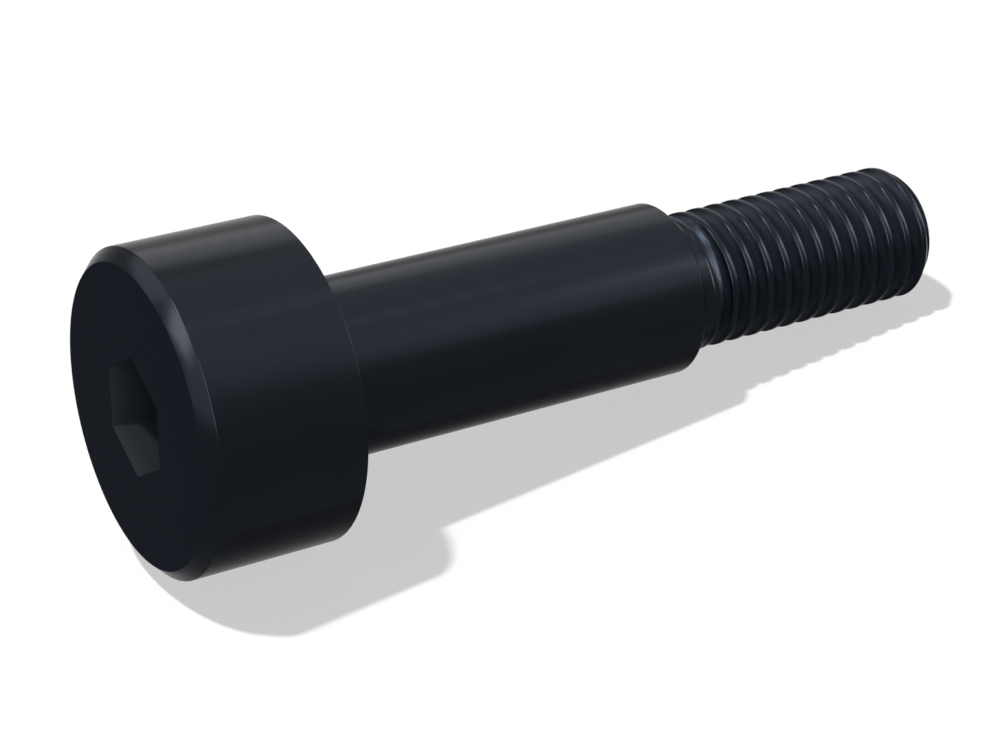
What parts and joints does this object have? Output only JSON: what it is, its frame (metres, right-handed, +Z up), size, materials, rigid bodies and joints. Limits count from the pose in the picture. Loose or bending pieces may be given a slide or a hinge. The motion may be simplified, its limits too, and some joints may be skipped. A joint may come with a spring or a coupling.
{
  "type": "shoulder bolt",
  "caption": "Socket head shoulder bolt in black steel: a tall round head with a hex socket, a ground shoulder and a shorter threaded end.",
  "frame": {"origin": "centre of the bearing face, on the bolt's axis, where the head meets the shoulder", "axes": "+Z up. The bolt lies as it rests: its axis runs towards +X and slopes down about 7.04 degrees to the thread's end, so the rim of the head and the end of the thread touch one surface, 8.93 mm below the origin. One corner of the hex socket points up"},
  "size_m": [0.0513, 0.018, 0.0188],
  "materials": {
    "black_steel": "black oxide, satin, with fine turning marks"
  },
  "bodies": {
    "root": {"shoulder_bolt": "black_steel"}
  },
  "joints": []
}
